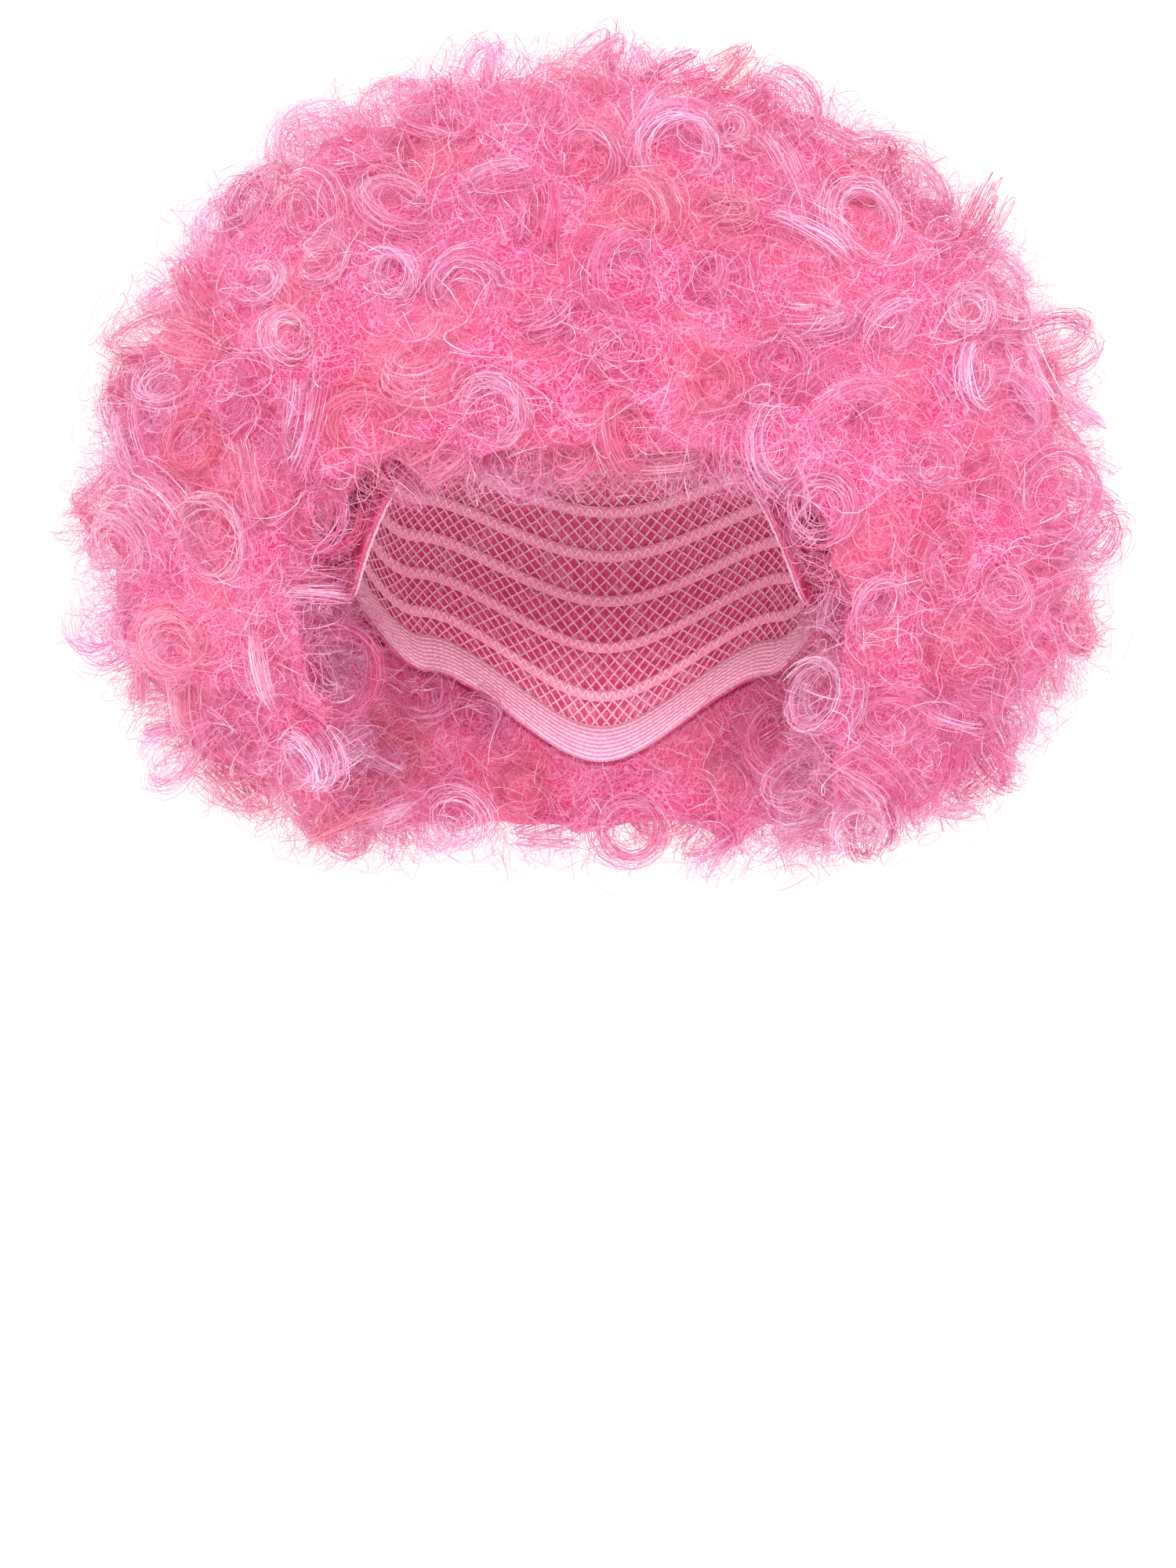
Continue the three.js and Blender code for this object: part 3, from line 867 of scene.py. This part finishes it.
def deep_material():
    """Hair too deep to show single strands: fine lines round each ringlet, and between them
    curved lines like the contours of a map. Its pinks are darker than the strands', as painted
    shade, and lighter on the ringlets' ridges, as painted light."""
    made = Nodes("deep_fibre")
    wander = made.math("MULTIPLY", made.noise(6 * MM, 1.0), RING_WANDER)
    ring = made.math("ADD", made.attribute("ring"), wander)
    height = made.thin_lines(made.math("MULTIPLY", ring, 2 * math.pi / RING_PITCH))
    for size, lines, distortion in CONTOURS:
        field = made.noise(size, 0.0, distortion)
        line = made.thin_lines(made.math("MULTIPLY", field, 2 * math.pi * lines))
        height = made.math("MAXIMUM", height, line)
    shadow = made.noise(13 * MM)
    # Painted light on the ringlets' ridges, painted shade in the shadow patches.
    tone = made.weighted((height, shadow, made.attribute("ridge")), DEEP_TONE)
    patches = made.noise(CORAL_PATCH, 1.0)
    coral = made.math("SUBTRACT", patches, DEEP_CORAL_FROM)
    coral = made.math("MAXIMUM", made.math("MULTIPLY", coral, DEEP_CORAL_GAIN), 0.0)
    made.put("Base Color", made.mix(coral, made.ramp(tone, DEEP_STOPS), CORAL))
    made.put("Roughness", made.sloped(shadow, 0.2, 0.6))
    made.put("Specular IOR Level", 0.15)
    made.bump(height, 0.5, 0.5 * MM)
    return made.material


def lining_material():
    """The roots of the hair, seen through the net: fine lines that run up and down."""
    made = Nodes("hair_roots")
    fine = made.noise((0.8 * MM, 0.8 * MM, 14 * MM))
    coarse = made.noise((4 * MM, 4 * MM, 9 * MM), 1.0)
    tone = made.weighted((fine, coarse), ROOTS_TONE)
    made.put("Base Color", made.ramp(tone, ROOTS_STOPS))
    made.put("Roughness", 0.6)
    made.bump(fine, 0.8, 0.6 * MM)
    return made.material


def thread_material(name, dark, light):
    """Twisted thread of a net, tape or stitch."""
    made = Nodes(name)
    twist = made.noise(0.7 * MM)
    made.put("Base Color", made.ramp(twist, [(0.35, dark), (0.65, light)]))
    made.put("Roughness", made.sloped(twist, 0.3, 0.55))
    made.put("Sheen Weight", 0.2)
    made.bump(twist, 0.6, 0.3 * MM)
    return made.material


def elastic_material():
    """Ribbed elastic: fine ribs across the band and a thread's twist in each."""
    made = Nodes("ribbed_elastic")
    across = made.math("MULTIPLY", made.attribute("across"), 2 * math.pi * ELASTIC_RIBS)
    twist = made.noise(0.9 * MM)
    height = made.weighted((made.math("SINE", across), twist), ELASTIC_TONE)
    made.put("Base Color", made.ramp(height, ELASTIC_STOPS))
    made.put("Roughness", made.sloped(twist, 0.2, 0.55))
    made.put("Sheen Weight", 0.2)
    made.bump(height, 0.6, 0.4 * MM)
    return made.material


# Pieces

def add_hair():
    """The deep hair, and the ringlets and frizz of each section."""
    form = Form()
    fibre = fibre_material()
    coils = Ringlets(form)
    deep = deep_hair(form, coils)
    deep.data.materials.append(deep_material())
    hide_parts(*HAIR)
    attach(deep, "root")
    curls = coils.strands()
    frizz = loose_curls(form, form.weights, FRIZZ_COUNT, FRIZZ_POINTS, FRIZZ_RADIUS,
                        FRIZZ_TURNS, FRIZZ_TOP, FRIZZ_WIDTH, FRIZZ_PALENESS)
    strays = loose_curls(form, form.weights, STRAY_COUNT, STRAY_POINTS, STRAY_RADIUS,
                         STRAY_TURNS, STRAY_TOP, STRAY_WIDTH, STRAY_PALENESS)
    edge = loose_curls(form, form.edge_weights, EDGE_COUNT, FRIZZ_POINTS, EDGE_RADIUS,
                       FRIZZ_TURNS, EDGE_TOP, FRIZZ_WIDTH, EDGE_PALENESS)
    kinds = {"ringlets": [curls], "frizz": [frizz, strays, edge]}
    for kind, groups in kinds.items():
        for section in HAIR:
            chosen = [group.chosen(section_names(roots) == section) for group, roots in groups]
            name = section.replace("hair", kind)
            piece = new_object(name, strands_mesh(name, chosen, SHADES * WARMTHS))
            piece.data.materials.append(fibre)
            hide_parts(section)
            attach(piece, "root")


def add_cap():
    """The wall, net, wefts, stitching and elastic of the cap."""
    net_thread = thread_material("net_thread", (0.72, 0.3, 0.42), (0.93, 0.62, 0.72))
    tape = thread_material("weft_tape", (0.82, 0.22, 0.4), (0.93, 0.42, 0.58))
    stitch = thread_material("stitching", (0.85, 0.5, 0.62), (0.97, 0.78, 0.85))
    pieces = [
        (cap_lining(), lining_material(), "net_cap", "cap_net"),
        (cap_net(), net_thread, "net_cap", "cap_net"),
        (cap_wefts(), tape, "net_cap", "cap_net"),
        (cap_stitches(), stitch, "net_cap", "cap_net"),
        (elastic_band(), elastic_material(), "hem_elastic", "elastic"),
    ]
    for mesh, material, node, slot in pieces:
        piece = new_object(mesh.name, mesh)
        piece.data.materials.append(material)
        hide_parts(node)
        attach(piece, "root")


# Stage

CAMERA_TURN = math.radians(3.5)
CAMERA_RISE = math.radians(1.5)
CAMERA_ROLL = math.radians(0.8)
CAMERA_DISTANCE = 1.9
FRAME_HEIGHT = 0.474  # seen at the distance of the target
CAMERA_TARGET = Vector((0.001, 0, -0.153))
FLOOR_HEIGHT = -0.75
FLOOR_REACH = 30.0
WORLD_STRENGTH = 1.03
LIGHT_TARGET = Vector((0, 0, -0.06))
# Each light: its place, its width in metres and its power in watts
LIGHTS = {
    "key": ((0.1, -2.05, 0.5), 0.6, 31),
    "left_rim": ((-1.4, 0.5, 0.9), 0.7, 19),
    "right_rim": ((1.4, 0.4, 0.9), 0.7, 17),
    "back": ((0, 2.05, 0.7), 0.6, 24),
}


def add_camera():
    """The camera at the photograph's viewing angle."""
    data = bpy.data.cameras.new("camera")
    camera = new_object("camera", data)
    away = Vector((
        math.sin(CAMERA_TURN) * math.cos(CAMERA_RISE),
        -math.cos(CAMERA_TURN) * math.cos(CAMERA_RISE),
        math.sin(CAMERA_RISE),
    ))
    facing = (-away).to_track_quat("-Z", "Y").to_matrix().to_4x4()
    place = Matrix.Translation(CAMERA_TARGET + away * CAMERA_DISTANCE)
    camera.matrix_world = place @ facing @ Matrix.Rotation(CAMERA_ROLL, 4, "Z")
    data.lens = data.sensor_width * CAMERA_DISTANCE / FRAME_HEIGHT
    bpy.context.scene.camera = camera


def add_light(name, place, size, power):
    data = bpy.data.lights.new(name, "AREA")
    data.shape = "DISK"
    data.size = size
    data.energy = power
    light = new_object(name, data)
    light.location = place
    aim = LIGHT_TARGET - light.location
    light.rotation_euler = aim.to_track_quat("-Z", "Y").to_euler()


def add_stage():
    """The floor, the lights and the white world round them."""
    corners = np.array([[-1, -1], [1, -1], [1, 1], [-1, 1]]) * FLOOR_REACH
    corners = np.column_stack([corners, np.full(4, FLOOR_HEIGHT)])
    floor = new_object("floor", mesh_of("floor", corners, np.array([[0, 1, 2, 3]])))
    made = Nodes("pale_floor")
    stops = [(0.3, (0.97, 0.97, 0.97)), (0.7, (0.99, 0.99, 0.99))]
    made.put("Base Color", made.ramp(made.noise(0.5), stops))
    made.put("Roughness", 0.9)
    floor.data.materials.append(made.material)
    world = bpy.data.worlds.new("studio")
    world.use_nodes = True
    background = world.node_tree.nodes["Background"]
    background.inputs["Color"].default_value = (1, 1, 1, 1)
    background.inputs["Strength"].default_value = WORLD_STRENGTH
    bpy.context.scene.world = world
    for name, settings in LIGHTS.items():
        add_light(name, *settings)
    bpy.context.scene.view_settings.view_transform = "Standard"


add_camera()
add_stage()
add_hair()
add_cap()
